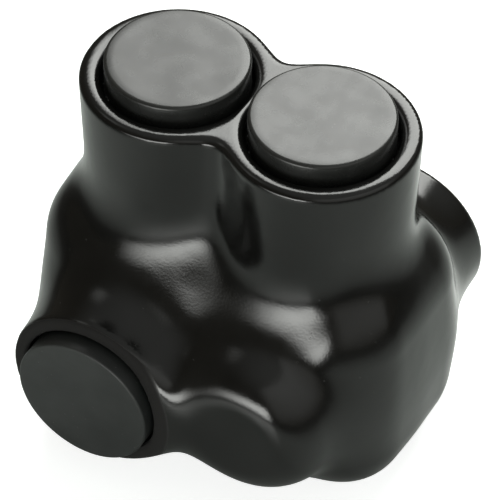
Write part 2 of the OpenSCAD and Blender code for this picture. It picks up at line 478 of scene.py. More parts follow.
def new_group(
    name: str, inputs: dict[str, str], output: str
) -> tuple[bpy.types.NodeTree, Graph, dict[str, bpy.types.NodeSocket], bpy.types.NodeSocket]:
    """Starts a shader node group with one output value.

    Args:
        name: The group's name.
        inputs: Socket types by name.
        output: The output's name.

    Returns:
        The group, its graph, its input sockets by name and its output socket.
    """
    tree = bpy.data.node_groups.new(name, "ShaderNodeTree")
    for key, kind in inputs.items():
        tree.interface.new_socket(key, in_out="INPUT", socket_type="NodeSocket" + kind)
    tree.interface.new_socket(output, in_out="OUTPUT", socket_type="NodeSocketFloat")
    graph = Graph(tree)
    entry = tree.nodes.new("NodeGroupInput")
    leave = tree.nodes.new("NodeGroupOutput")
    return tree, graph, {k: entry.outputs[k] for k in inputs}, leave.inputs[output]


class Effects:
    """The shader node groups that several finishes share, each built once."""

    def __init__(self) -> None:
        """Builds the groups."""
        self.mottle = self._mottle()
        self.peel = self._peel()
        self.specks = self._specks()
        self.scratches = self._scratches()

    @staticmethod
    def _mottle() -> bpy.types.NodeTree:
        """Makes soft cloudy change between two values.

        Returns:
            The group.
        """
        sockets = {"Vector": "Vector", "Scale": "Float", "Low": "Float", "High": "Float"}
        tree, graph, into, out = new_group("soft_mottle", sockets, "Value")
        cloud = graph.noise(into["Vector"], into["Scale"], 3.0)
        graph.feed(out, graph.span(cloud, 0.3, 0.7, into["Low"], into["High"]))
        return tree

    @staticmethod
    def _peel() -> bpy.types.NodeTree:
        """Makes the slow waviness of a dipped skin, with a finer grain in it.

        Returns:
            The group.
        """
        sockets = {"Vector": "Vector", "Scale": "Float", "Fine Scale": "Float", "Fine": "Float"}
        tree, graph, into, out = new_group("orange_peel", sockets, "Height")
        slow = graph.noise(into["Vector"], into["Scale"], 1.0)
        fine = graph.noise(into["Vector"], into["Fine Scale"], 2.0)
        graph.feed(out, graph.maths("ADD", slow, graph.maths("MULTIPLY", fine, into["Fine"])))
        return tree

    @staticmethod
    def _specks() -> bpy.types.NodeTree:
        """Makes scattered specks of dust: a few cells of a net each hold one.

        Returns:
            The group.
        """
        sockets = {"Vector": "Vector", "Scale": "Float", "Share": "Float"}
        tree, graph, into, out = new_group("dust_specks", sockets, "Mask")
        cells = graph.node("TexVoronoi")
        graph.feed(cells.inputs["Vector"], into["Vector"])
        graph.feed(cells.inputs["Scale"], into["Scale"])
        near = graph.span(cells.outputs["Distance"], 0.06, 0.22, 1.0, 0.0)
        split = graph.node("SeparateColor")
        graph.feed(split.inputs[0], cells.outputs["Color"])
        held = graph.maths("LESS_THAN", split.outputs[0], into["Share"])
        graph.feed(out, graph.maths("MULTIPLY", near, held))
        return tree

    @staticmethod
    def _scratches() -> bpy.types.NodeTree:
        """Makes fine straight tool marks along one way of the metal.

        Returns:
            The group.
        """
        sockets = {"Vector": "Vector", "Scale": "Float", "Depth": "Float"}
        tree, graph, into, out = new_group("tool_marks", sockets, "Height")
        lines = graph.noise(into["Vector"], into["Scale"], 4.0)
        graph.feed(out, graph.maths("MULTIPLY", lines, into["Depth"]))
        return tree

    def place(
        self, graph: Graph, group: bpy.types.NodeTree, **values: object
    ) -> bpy.types.NodeSocket:
        """Puts a group into a material.

        Args:
            graph: The material's graph.
            group: The group.
            values: Its inputs, with underscores for spaces.

        Returns:
            The group's output.
        """
        made = graph.node("Group", node_tree=group)
        for key, value in values.items():
            graph.feed(made.inputs[key.replace("_", " ")], value)
        return made.outputs[0]

    def cloud(
        self,
        graph: Graph,
        where: bpy.types.NodeSocket,
        scale: float,
        low: float = 0.0,
        high: float = 1.0,
    ) -> bpy.types.NodeSocket:
        """Puts soft cloudy change between two values into a material."""
        return self.place(graph, self.mottle, Vector=where, Scale=scale, Low=low, High=high)

    def dust(
        self, graph: Graph, where: bpy.types.NodeSocket, scale: float, share: float
    ) -> bpy.types.NodeSocket:
        """Puts specks of dust into a share of a net's cells."""
        return self.place(graph, self.specks, Vector=where, Scale=scale, Share=share)

    def marks(
        self,
        graph: Graph,
        where: bpy.types.NodeSocket,
        stretch: tuple[float, float, float],
        scale: float,
        depth: float,
    ) -> bpy.types.NodeSocket:
        """Puts tool marks into a material.

        Args:
            graph: The material's graph.
            where: The coordinates.
            stretch: Scales of the coordinates, small along the marks.
            scale: Marks in a metre.
            depth: Their height.

        Returns:
            The marks' height.
        """
        lay = graph.node("Mapping")
        lay.inputs["Scale"].default_value = stretch
        graph.feed(lay.inputs["Vector"], where)
        return self.place(
            graph, self.scratches, Vector=lay.outputs[0], Scale=scale, Depth=depth
        )


def new_material(
    name: str,
) -> tuple[bpy.types.Material, Graph, bpy.types.Node, bpy.types.NodeSocket]:
    """Starts a material.

    Args:
        name: The material's name.

    Returns:
        The material, its graph, its Principled shader and its Object coordinates.
    """
    made = bpy.data.materials.new(name)
    made.use_nodes = True
    graph = Graph(made.node_tree)
    shader = made.node_tree.nodes["Principled BSDF"]
    where = graph.node("TexCoord").outputs["Object"]
    return made, graph, shader, where


def add_bump(
    graph: Graph, shader: bpy.types.Node, height: bpy.types.NodeSocket, depth: float
) -> None:
    """Gives a shader a bump.

    Args:
        graph: The material's graph.
        shader: The shader.
        height: The bump's height, from 0 to about 1.
        depth: How deep a height of 1 is, in millimetres.
    """
    bump = graph.node("Bump")
    bump.inputs["Strength"].default_value = 1.0
    bump.inputs["Distance"].default_value = depth * MM
    graph.feed(bump.inputs["Height"], height)
    graph.feed(shader.inputs["Normal"], bump.outputs["Normal"])


Colour = tuple[float, float, float, float]


@dataclass(frozen=True)
class PlastisolFinish:
    """The dipped cover's finish: deep black, very glossy, a little wavy."""

    name: str = "black_plastisol"
    deep: Colour = (0.0042, 0.0044, 0.0041, 1.0)
    pale: Colour = (0.0072, 0.0074, 0.0070, 1.0)
    dust: Colour = (0.03, 0.031, 0.03, 1.0)
    trimmed: Colour = (0.0038, 0.0034, 0.0030, 1.0)
    smooth: float = 0.12
    dull: float = 0.17
    matt: float = 0.9
    speck_dull: float = 0.12
    ior: float = 1.5
    wave_depth: float = 0.03
    front_trim: float = 24.0
    rear_trim: float = 25.9
    trim_edge: float = 0.25
    trim_radius: float = 13.5
    ring_edge: float = 0.8

    def make(self, effects: Effects) -> bpy.types.Material:
        """Builds the material.

        Args:
            effects: The shared effects.

        Returns:
            The material.
        """
        made, graph, shader, where = new_material(self.name)
        cloud = effects.cloud(graph, where, scale=140.0)
        specks = effects.dust(graph, where, scale=1300.0, share=0.03)
        film = effects.cloud(graph, where, scale=420.0, low=self.smooth, high=self.dull)
        skin = graph.blend(specks, graph.blend(cloud, self.deep, self.pale), self.dust)
        cut = self._trim(graph, where)
        graph.feed(shader.inputs["Base Color"], graph.blend(cut, skin, self.trimmed))
        gloss = graph.maths("ADD", film, graph.maths("MULTIPLY", specks, self.speck_dull))
        rough = graph.maths("MAXIMUM", gloss, graph.maths("MULTIPLY", cut, self.matt))
        graph.feed(shader.inputs["Roughness"], rough)
        shader.inputs["IOR"].default_value = self.ior
        wave = effects.place(
            graph, effects.peel, Vector=where, Scale=260.0, Fine_Scale=3000.0, Fine=0.3
        )
        add_bump(graph, shader, wave, self.wave_depth)
        return made

    def _trim(self, graph: Graph, where: bpy.types.NodeSocket) -> bpy.types.NodeSocket:
        """Finds the ports' mouths, which trimming after the dip left matt.

        Args:
            graph: The material's graph.
            where: The coordinates.

        Returns:
            A mask, 1 on the mouths.
        """
        x, y, z = graph.axes(where)
        ends = []
        for out, start in (
            (graph.maths("MULTIPLY", y, -1.0), self.front_trim),
            (y, self.rear_trim),
        ):
            ends.append(graph.span(out, start * MM, (start + self.trim_edge) * MM, 0.0, 1.0))
        axis = graph.maths("MULTIPLY", graph.maths("SIGN", y), TOWER_X * MM)
        off = graph.maths("SUBTRACT", x, axis)
        rise = graph.maths("SUBTRACT", z, WIRE_Z * MM)
        inner, outer = (self.trim_radius - self.ring_edge) * MM, self.trim_radius * MM
        ring = graph.span(graph.reach(off, rise), inner, outer, 1.0, 0.0)
        return graph.maths("MULTIPLY", graph.maths("MAXIMUM", *ends), ring)


@dataclass(frozen=True)
class RubberFinish:
    """The caps' and plugs' finish: satin black, cloudy, with a fine moulded grain."""

    name: str
    deep: Colour
    pale: Colour
    smooth: float
    dull: float
    dust: Colour = (0.06, 0.061, 0.059, 1.0)
    ior: float = 1.5
    grain_depth: float = 0.16

    def make(self, effects: Effects) -> bpy.types.Material:
        """Builds the material.

        Args:
            effects: The shared effects.

        Returns:
            The material.
        """
        made, graph, shader, where = new_material(self.name)
        cloud = effects.cloud(graph, where, scale=210.0)
        specks = effects.dust(graph, where, scale=1500.0, share=0.12)
        film = effects.cloud(graph, where, scale=330.0, low=self.smooth, high=self.dull)
        skin = graph.blend(cloud, self.deep, self.pale)
        graph.feed(shader.inputs["Base Color"], graph.blend(specks, skin, self.dust))
        graph.feed(shader.inputs["Roughness"], film)
        shader.inputs["IOR"].default_value = self.ior
        grain = effects.place(
            graph, effects.peel, Vector=where, Scale=120.0, Fine_Scale=4200.0, Fine=0.02
        )
        add_bump(graph, shader, grain, self.grain_depth)
        return made


@dataclass(frozen=True)
class TinnedFinish:
    """The aluminium body's finish: tin over milling marks, with the screw holes' threads."""

    name: str = "tinned_aluminium"
    bright: Colour = (0.78, 0.785, 0.79, 1.0)
    dull: Colour = (0.60, 0.605, 0.61, 1.0)
    smooth: float = 0.26
    rough: float = 0.42
    lay: tuple[float, float, float] = (1.0, 0.04, 1.0)
    mark_height: float = 0.05
    bump_depth: float = 0.25
    thread_pitch: float = 1.27
    thread_radius: float = 6.6
    thread_foot: float = 20.0

    def make(self, effects: Effects) -> bpy.types.Material:
        """Builds the material.

        Args:
            effects: The shared effects.

        Returns:
            The material.
        """
        made, graph, shader, where = new_material(self.name)
        shader.inputs["Metallic"].default_value = 1.0
        cloud = effects.cloud(graph, where, scale=160.0)
        graph.feed(shader.inputs["Base Color"], graph.blend(cloud, self.bright, self.dull))
        film = effects.cloud(graph, where, scale=500.0, low=self.smooth, high=self.rough)
        graph.feed(shader.inputs["Roughness"], film)
        marks = effects.marks(graph, where, self.lay, scale=6000.0, depth=self.mark_height)
        height = graph.maths("ADD", marks, self._threads(graph, where))
        add_bump(graph, shader, height, self.bump_depth)
        return made

    def _threads(self, graph: Graph, where: bpy.types.NodeSocket) -> bpy.types.NodeSocket:
        """Winds threads into the two screw holes, by the distance from their axes.

        Args:
            graph: The material's graph.
            where: The coordinates.

        Returns:
            The threads' height.
        """
        x, y, z = graph.axes(where)
        off = graph.maths("SUBTRACT", graph.maths("ABSOLUTE", x), TOWER_X * MM)
        inside = graph.maths("LESS_THAN", graph.reach(off, y), self.thread_radius * MM)
        above = graph.maths("GREATER_THAN", z, self.thread_foot * MM)
        turn = graph.maths("DIVIDE", graph.maths("ARCTAN2", y, off), math.tau)
        climb = graph.maths("SUBTRACT", graph.maths("DIVIDE", z, self.thread_pitch * MM), turn)
        wave = graph.maths("MULTIPLY", graph.maths("PINGPONG", climb, 0.5), 2.0)
        return graph.maths("MULTIPLY", graph.maths("MULTIPLY", inside, above), wave)


@dataclass(frozen=True)
class MachinedFinish:
    """The set screws' finish: turned aluminium, slightly oxidised."""

    name: str = "turned_aluminium"
    bright: Colour = (0.72, 0.725, 0.73, 1.0)
    dull: Colour = (0.50, 0.505, 0.51, 1.0)
    smooth: float = 0.22
    rough: float = 0.4
    lay: tuple[float, float, float] = (0.05, 0.05, 1.0)
    bump_depth: float = 0.01

    def make(self, effects: Effects) -> bpy.types.Material:
        """Builds the material.

        Args:
            effects: The shared effects.

        Returns:
            The material.
        """
        made, graph, shader, where = new_material(self.name)
        shader.inputs["Metallic"].default_value = 1.0
        cloud = effects.cloud(graph, where, scale=450.0)
        graph.feed(shader.inputs["Base Color"], graph.blend(cloud, self.bright, self.dull))
        film = effects.cloud(graph, where, scale=900.0, low=self.smooth, high=self.rough)
        graph.feed(shader.inputs["Roughness"], film)
        marks = effects.marks(graph, where, self.lay, scale=7000.0, depth=1.0)
        add_bump(graph, shader, marks, self.bump_depth)
        return made


@dataclass(frozen=True)
class FloorFinish:
    """The studio floor's finish: satin and pale near the object, with painted shade beyond.

    The camera sees it as a white ground that keeps the soft shadow.
    """

    name: str = "studio_floor"
    near: Colour = (0.58, 0.62, 0.60, 1.0)
    far: Colour = (0.09, 0.09, 0.088, 1.0)
    near_reach: float = 0.05
    far_reach: float = 0.20
    gloss: float = 0.3
    lift: float = 0.8

    def make(self) -> bpy.types.Material:
        """Builds the material.

        Returns:
            The material.
        """
        made, graph, shader, where = new_material(self.name)
        seen = graph.node("LightPath").outputs["Is Camera Ray"]
        reach = graph.node("VectorMath", operation="LENGTH")
        graph.feed(reach.inputs[0], where)
        # Painted shade: the floor's colour darkens with distance from the object, in place of
        # light falling off.
        share = graph.span(reach.outputs["Value"], self.near_reach, self.far_reach, 0.0, 1.0)
        ground = graph.blend(share, self.near, self.far)
        graph.feed(shader.inputs["Base Color"], graph.blend(seen, ground, self.near))
        shader.inputs["Roughness"].default_value = self.gloss
        glow = graph.blend(seen, (0.0, 0.0, 0.0, 1.0), (self.lift, self.lift, self.lift, 1.0))
        graph.feed(shader.inputs["Emission Color"], glow)
        shader.inputs["Emission Strength"].default_value = 1.0
        return made


def dress(obj: bpy.types.Object, material: bpy.types.Material) -> None:
    """Gives an object one material all over."""
    obj.data.materials.clear()
    obj.data.materials.append(material)


# The cover


def joined(a: np.ndarray, b: np.ndarray, reach: float | np.ndarray) -> np.ndarray:
    """Joins two distance fields with a fillet that runs out softly on both sides.

    Args:
        a: The first field's values.
        b: The second field's values.
        reach: Four times the fillet's depth where the two are the same.

    Returns:
        The values of both together.
    """
    wide = 1.5 * reach
    near = np.maximum(wide - np.abs(a - b), 0.0)
    return np.minimum(a, b) - near**3 / (6 * wide**2)


def rounded_end(wall: np.ndarray, face: np.ndarray, edge: float) -> np.ndarray:
    """Ends one field at another, with a rounded edge between them.

    Args:
        wall: The first field's values.
        face: The second field's values.
        edge: The edge's radius in millimetres.

    Returns:
        The values of what lies inside both.
    """
    a, b = wall + edge, face + edge
    return np.hypot(np.maximum(a, 0), np.maximum(b, 0)) + np.minimum(np.maximum(a, b), 0) - edge


@dataclass(frozen=True)
class CoatForm:
    """The cover's form as a distance field, in millimetres: below zero inside the coat.

    The hollows reach into the body's space by the overlap, and the tools that cut them
    stand out of the skin by the clear length.
    """

    block: tuple[float, float, float] = (55.0, 28.0, 35.8)
    block_round: float = 8.2
    tower_radius: float = 13.4
    tower_foot: float = 12.8
    rim: float = 55.9
    rim_round: float = 0.9
    lip_round: float = 1.1
    rim_web: float = 5.0
    foot_web: float = 9.6
    foot_fillet: float = 6.6
    port_radius: float = 12.6
    port_reach: float = 24.5
    rear_reach: float = 26.4
    mouth_round: float = 0.8
    mouth_lip: float = 0.45
    port_fillet: float = 9.5
    boss_radius: float = 10.8
    boss_reach: float = 23.5
    boss_rise: float = 1.2
    boss_round: float = 5.2
    boss_fillet: float = 8.8
    hollow: float = 8.9
    cap_seat_radius: float = 10.45
    cap_seat: float = 3.0
    mouth_radius: float = 10.6
    plug_seat: float = 2.5
    pocket_radius: float = 6.9
    pocket_reach: float = 16.0
    body_face: float = 11.0
    body_top: float = 32.8
    inner_round: float = 0.4
    overlap: float = 1.0
    clear: float = 2.0

    def reach(self, side: Side) -> float:
        """How far from the middle a port's mouth lies."""
        return self.port_reach if side is Side.FRONT_LEFT else self.rear_reach

    def skin(self, p: np.ndarray) -> np.ndarray:
        """Works out the outer skin's field.

        Args:
            p: Points, as rows of three.

        Returns:
            The field at each point.
        """
        x, y, z = p.T
        half = np.array(self.block) / 2
        q = np.abs(p - (0, 0, half[2])) - half + self.block_round
        block = np.linalg.norm(np.maximum(q, 0), axis=1) + np.minimum(q.max(1), 0)
        block -= self.block_round
        rise = np.clip((z - self.block[2]) / (self.rim - self.block[2]), 0, 1)
        radius = self.tower_foot + (self.tower_radius - self.tower_foot) * rise
        pair = [np.hypot(x - s.value * TOWER_X, y) - radius for s in Side]
        side = joined(*pair, self.foot_web + (self.rim_web - self.foot_web) * rise)
        towers = rounded_end(side, np.maximum(z - self.rim, WIRE_Z - z), self.rim_round)
        ports, bosses = [], []
        for s in Side:
            out, across = s.value * y, x - s.value * TOWER_X
            wall = np.hypot(across, z - WIRE_Z) - self.port_radius
            ends = np.maximum(out - self.reach(s), -out)
            ports.append(rounded_end(wall, ends, self.mouth_round))
            wall = np.hypot(across, z - WIRE_Z - self.boss_rise) - self.boss_radius
            ends = np.maximum(-out - self.boss_reach, out)
            bosses.append(rounded_end(wall, ends, self.boss_round))
        whole = joined(block, towers, self.foot_fillet)
        whole = joined(whole, np.minimum(*ports), self.port_fillet)
        return joined(whole, np.minimum(*bosses), self.boss_fillet)

    def coat(self, p: np.ndarray) -> np.ndarray:
        """Works out the coat's field: the skin with its hollows, seats and round lips.

        Args:
            p: Points, as rows of three.

        Returns:
            The field at each point.
        """
        x, y, z = p.T
        solid = self.skin(p)
        foot, back = self.body_top - self.overlap, self.body_face - self.overlap
        cap_floor, plug_floor = self.rim - self.cap_seat, self.port_reach - self.plug_seat
        for s in Side:
            out, across = s.value * y, x - s.value * TOWER_X
            upright = np.hypot(across, y)
            seat = rounded_end(upright - self.cap_seat_radius, cap_floor - z, self.inner_round)
            shaft = np.maximum(upright - self.hollow, foot - z)
            solid = rounded_end(solid, -seat, self.lip_round)
            solid = rounded_end(solid, -shaft, self.inner_round)
            lying = np.hypot(across, z - WIRE_Z)
            mouth = rounded_end(lying - self.mouth_radius, plug_floor - out, self.inner_round)
            way = np.maximum(lying - self.hollow, back - out)
            ends = np.maximum(-out - self.pocket_reach, back + out)
            pocket = rounded_end(lying - self.pocket_radius, ends, self.inner_round)
            solid = rounded_end(solid, -mouth, self.mouth_lip)
            solid = rounded_end(solid, -way, self.inner_round)
            solid = np.maximum(solid, -pocket)
        return solid


def press_inside(
    p: np.ndarray, low: np.ndarray, high: np.ndarray, give: np.ndarray
) -> np.ndarray:
    """Presses points softly back inside a box.

    Args:
        p: The points, as rows of three.
        low: The box's lowest corner.
        high: The box's highest corner.
        give: How far inside the box's sides the points start to give way, along each axis.

    Returns:
        The moved points.
    """
    over = np.maximum(p - high + give, 0.0)
    under = np.maximum(low + give - p, 0.0)
    pressed = p - over + give * np.tanh(over / give) + under - give * np.tanh(under / give)
    return np.clip(pressed, low, high)


Field = Callable[[np.ndarray], np.ndarray]


def settle(shape: Field, p: np.ndarray, rounds: int) -> np.ndarray:
    """Moves points near a shape's surface onto it, in short steps down its field.

    Args:
        shape: The shape's distance field.
        p: The points, as rows of three.
        rounds: How many steps are taken.

    Returns:
        The moved points.
    """
    step, longest, least_slope = 0.005, 0.6, 0.1
    for _ in range(rounds):
        way = np.stack([(shape(p + s) - shape(p - s)) / (2 * step) for s in np.eye(3) * step], 1)
        move = way * (shape(p) / np.maximum((way * way).sum(1), least_slope))[:, None]
        size = np.linalg.norm(move, axis=1, keepdims=True)
        p = p - move * np.minimum(1.0, longest / np.maximum(size, 1e-9))
    return p


@dataclass
class InsulatingCover:
    """The dipped plastisol cover: towers, ports and bosses melted into one soft skin."""

    form: CoatForm = field(default_factory=CoatForm)
    finish: PlastisolFinish = field(default_factory=PlastisolFinish)
    cell: float = 0.5
    body_low: tuple[float, float, float] = (-24.55, -11.05, 2.95)
    body_high: tuple[float, float, float] = (24.55, 11.05, 32.85)
    body_round: float = 6.05
    give: tuple[float, float, float] = (1.4, 1.0, 0.001)
    lump_evening: int = 14
    evening: int = 4
    steps: int = 5
    last_steps: int = 6
    sharp: float = 40.0

    def build(self) -> bpy.types.Object:
        """Models the cover.

        Returns:
            The finished object.
        """
        lumps = [self._block()]
        for side in Side:
            lumps += [self._tower(side), self._port(side), self._boss(side)]
        take(*lumps)
        bpy.ops.object.join()
        cover = bpy.context.active_object
        cover.name = cover.data.name = "cover_skin"
        even_out(cover, 2 * self.cell)
        finish_with(cover, "SMOOTH", factor=0.5, iterations=self.lump_evening)
        self._melt(cover, self.form.skin, 3)
        even_out(cover, self.cell)
        self._melt(cover, self.form.skin, 1)
        for tool in self._hollows():
            carve(cover, tool)
        even_out(cover, self.cell)
        self._melt(cover, self.form.coat, 2)
        low, high = (np.array(v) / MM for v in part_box("insulating_cover"))
        move_points(cover, press_inside(points_of(cover), low, high, np.array(self.give)))
        carve(cover, self._body_space())
        smooth_below(cover, self.sharp)
        return cover

    def _block(self) -> bpy.types.Object:
        """Models the block with all its edges rounded.

        Returns:
            The block.
        """
        w, d, h = self.form.block
        block = add_box("cover_block", (-w / 2, -d / 2, 0), (w / 2, d / 2, h))
        bevel_edges(block, lambda a, b: True, self.form.block_round, 6)
        return block

    def _tower(self, side: Side) -> bpy.types.Object:
        """Models a screw tower, tapered to its foot and rounded at its rim.

        Args:
            side: Which of the two it is.

        Returns:
            The tower.
        """
        form, x = self.form, side.value * TOWER_X
        tower = add_cylinder("cover_tower", form.tower_radius, (x, 0, WIRE_Z), (x, 0, form.rim))
        with editing(tower):
            pick_faces(lambda middle, normal: normal.z < -0.9)
            share = form.tower_foot / form.tower_radius
            foot = Vector((x, 0, WIRE_Z)) * MM
            bpy.ops.transform.resize(value=(share, share, 1), center_override=foot)
        bevel_edges(tower, lambda a, b: min(a.z, b.z) > form.rim - CLOSE, form.rim_round, 4)
        return tower

    def _port(self, side: Side) -> bpy.types.Object:
        """Models a port barrel with a rounded mouth.

        Args:
            side: Which of the two it is.

        Returns:
            The barrel.
        """
        form, s = self.form, side.value
        x, end = s * TOWER_X, form.reach(side)
        port = add_cylinder("cover_port", form.port_radius, (x, 0, WIRE_Z), (x, s * end, WIRE_Z))
        bevel_edges(port, lambda a, b: min(s * a.y, s * b.y) > end - CLOSE, form.mouth_round, 4)
        return port

    def _boss(self, side: Side) -> bpy.types.Object:
        """Models the closed boss at the other end of a wire way.

        Args:
            side: Which wire way it ends.

        Returns:
            The boss.
        """
        form, s = self.form, side.value
        x, z, end = s * TOWER_X, WIRE_Z + form.boss_rise, form.boss_reach
        boss = add_cylinder("cover_boss", form.boss_radius, (x, 0, z), (x, -s * end, z))
        bevel_edges(boss, lambda a, b: min(-s * a.y, -s * b.y) > end - CLOSE, form.boss_round, 8)
        return boss

    def _hollows(self) -> list[bpy.types.Object]:
        """Adds the bars that hollow out the towers, the ports and the wire ends' pockets.

        Returns:
            The bars.
        """
        form, bars = self.form, []
        foot, back = form.body_top - form.overlap, form.body_face - form.overlap
        cap_floor, plug_floor = form.rim - form.cap_seat, form.port_reach - form.plug_seat
        top = form.rim + form.clear
        for side in Side:
            s, x = side.value, side.value * TOWER_X
            mouth = form.reach(side) + form.clear
            for name, radius, low in (
                ("tower_hollow", form.hollow, foot),
                ("cap_seat", form.cap_seat_radius, cap_floor),
            ):
                bars.append(add_cylinder(name, radius, (x, 0, low), (x, 0, top)))
            for name, radius, start, end in (
                ("port_hollow", form.hollow, back, mouth),
                ("plug_seat", form.mouth_radius, plug_floor, mouth),
                ("wire_end_pocket", form.pocket_radius, -back, -form.pocket_reach),
            ):
                ends = ((x, s * y, WIRE_Z) for y in (start, end))
                bars.append(add_cylinder(name, radius, *ends))
        return bars

    def _melt(self, cover: bpy.types.Object, shape: Field, turns: int) -> None:
        """Lets the net settle onto a shape, evening it out on the way.

        Args:
            cover: The cover's object.
            shape: The shape's distance field.
            turns: How often it is evened out.
        """
        for _ in range(turns):
            move_points(cover, settle(shape, points_of(cover), self.steps))
            finish_with(cover, "SMOOTH", factor=0.5, iterations=self.evening)
        move_points(cover, settle(shape, points_of(cover), self.last_steps))

    def _body_space(self) -> bpy.types.Object:
        """Models the space for the aluminium body, rounded in plan and in front view.

        Returns:
            The tool that cuts it.
        """
        low, high = self.body_low, self.body_high
        plan = add_box("body_plan", low, high)
        bevel_edges(plan, lambda a, b: abs(a.z - b.z) > 1, self.body_round, 12)
        front = add_box("body_front", low, high)
        bevel_edges(front, lambda a, b: abs(a.y - b.y) > 1, self.body_round, 12)
        carve(plan, front, Cut.KEEP)
        return plan

    def fit(self, effects: Effects) -> bpy.types.Object:
        """Builds, dresses and places the cover.

        Args:
            effects: The shared effects.

        Returns:
            The cover.
        """
        cover = self.build()
        dress(cover, self.finish.make(effects))
        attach(cover, "connector")
        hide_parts("insulating_cover")
        return cover


# Caps, plugs and screws


@dataclass
class PushInCup:
    """A soft push-in cup: a round head over a thin skirt, modelled with its face at z = 0."""

    name: str
    node: str
    body: str
    slot: str
    radius: float
    head: float
    place: Matrix
    skirt: float = 6.5
    skirt_radius: float = 8.82
    skirt_wall: float = 1.5
    floor: float = 2.4
    edge: float = 0.5
    fine_edge: float = 0.3
    soft_edge: float = 0.5
    face_rings: int = 9
    sink: float = 0.09
    flat_rim: float = 0.3
    sink_slope: float = 2.5
    swell_scale: float = 0.16
    seed: float = 0.0
    sides: int = 128
    sharp: float = 35.0

    def build(self) -> bpy.types.Object:
        """Models the cup.

        Returns:
            The finished object, in its place.
        """
        cup = add_cylinder(self.name, self.radius, (0, 0, -self.head), (0, 0, 0), self.sides)
        foot = self.head + self.skirt
        with editing(cup):
            pick_faces(lambda middle, normal: normal.z < -0.9)
            bpy.ops.mesh.inset(thickness=(self.radius - self.skirt_radius) * MM)
            self._extrude(-self.skirt)
            bpy.ops.mesh.inset(thickness=self.skirt_wall * MM)
            self._extrude(foot - self.floor)
        inner = self.skirt_radius - self.skirt_wall
        for height, radius, width, segments in (
            (0.0, self.radius, self.edge, 5),
            (-self.head, self.radius, self.fine_edge, 3),
            (-foot, self.skirt_radius, self.soft_edge, 3),
            (-foot, inner, self.fine_edge, 3),
            (-self.floor, inner, self.soft_edge, 3),
        ):
            bevel_edges(cup, ring_at(height, radius), width, segments)
        self._ring_face(cup)
        self._sink_face(cup)
        smooth_below(cup, self.sharp)
        cup.matrix_world = self.place
        settle_place(cup)
        return cup

    @staticmethod
    def _extrude(rise: float) -> None:
        """Extrudes the selected faces along Z by millimetres."""
        bpy.ops.mesh.extrude_region_move(TRANSFORM_OT_translate={"value": (0, 0, rise * MM)})

    def _ring_face(self, cup: bpy.types.Object) -> None:
        """Lays rings over the face, so that it can sink softly.

        Args:
            cup: The cup, not yet in its place.
        """
        step = (self.radius - self.edge) / (self.face_rings + 1)
        with editing(cup):
            pick_faces(lambda middle, normal: normal.z > 0.99 and abs(middle.z) < CLOSE)
            for _ in range(self.face_rings):
                bpy.ops.mesh.inset(thickness=step * MM)

    def _sink_face(self, cup: bpy.types.Object) -> None:
        """Sinks the face unevenly, as a moulded face shrinks over its hollow.

        Args:
            cup: The cup, not yet in its place.
        """
        points, scale = points_of(cup), self.swell_scale
        flat = self.radius - self.edge - self.flat_rim
        for p in points:
            reach = math.hypot(p[0], p[1])
            if p[2] > -CLOSE and reach < flat:
                spot = Vector((p[0] * scale + self.seed, p[1] * scale, 0.3))
                swell = noise.noise(spot) * 0.5 + 0.5
                p[2] -= self.sink * swell * min(1.0, (flat - reach) / self.sink_slope)
        move_points(cup, points)

    def fit(self, material: bpy.types.Material) -> bpy.types.Object:
        """Builds, dresses and places the cup.

        Args:
            material: Its finish.

        Returns:
            The cup.
        """
        cup = self.build()
        dress(cup, material)
        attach(cup, self.body)
        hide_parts(self.node)
        return cup


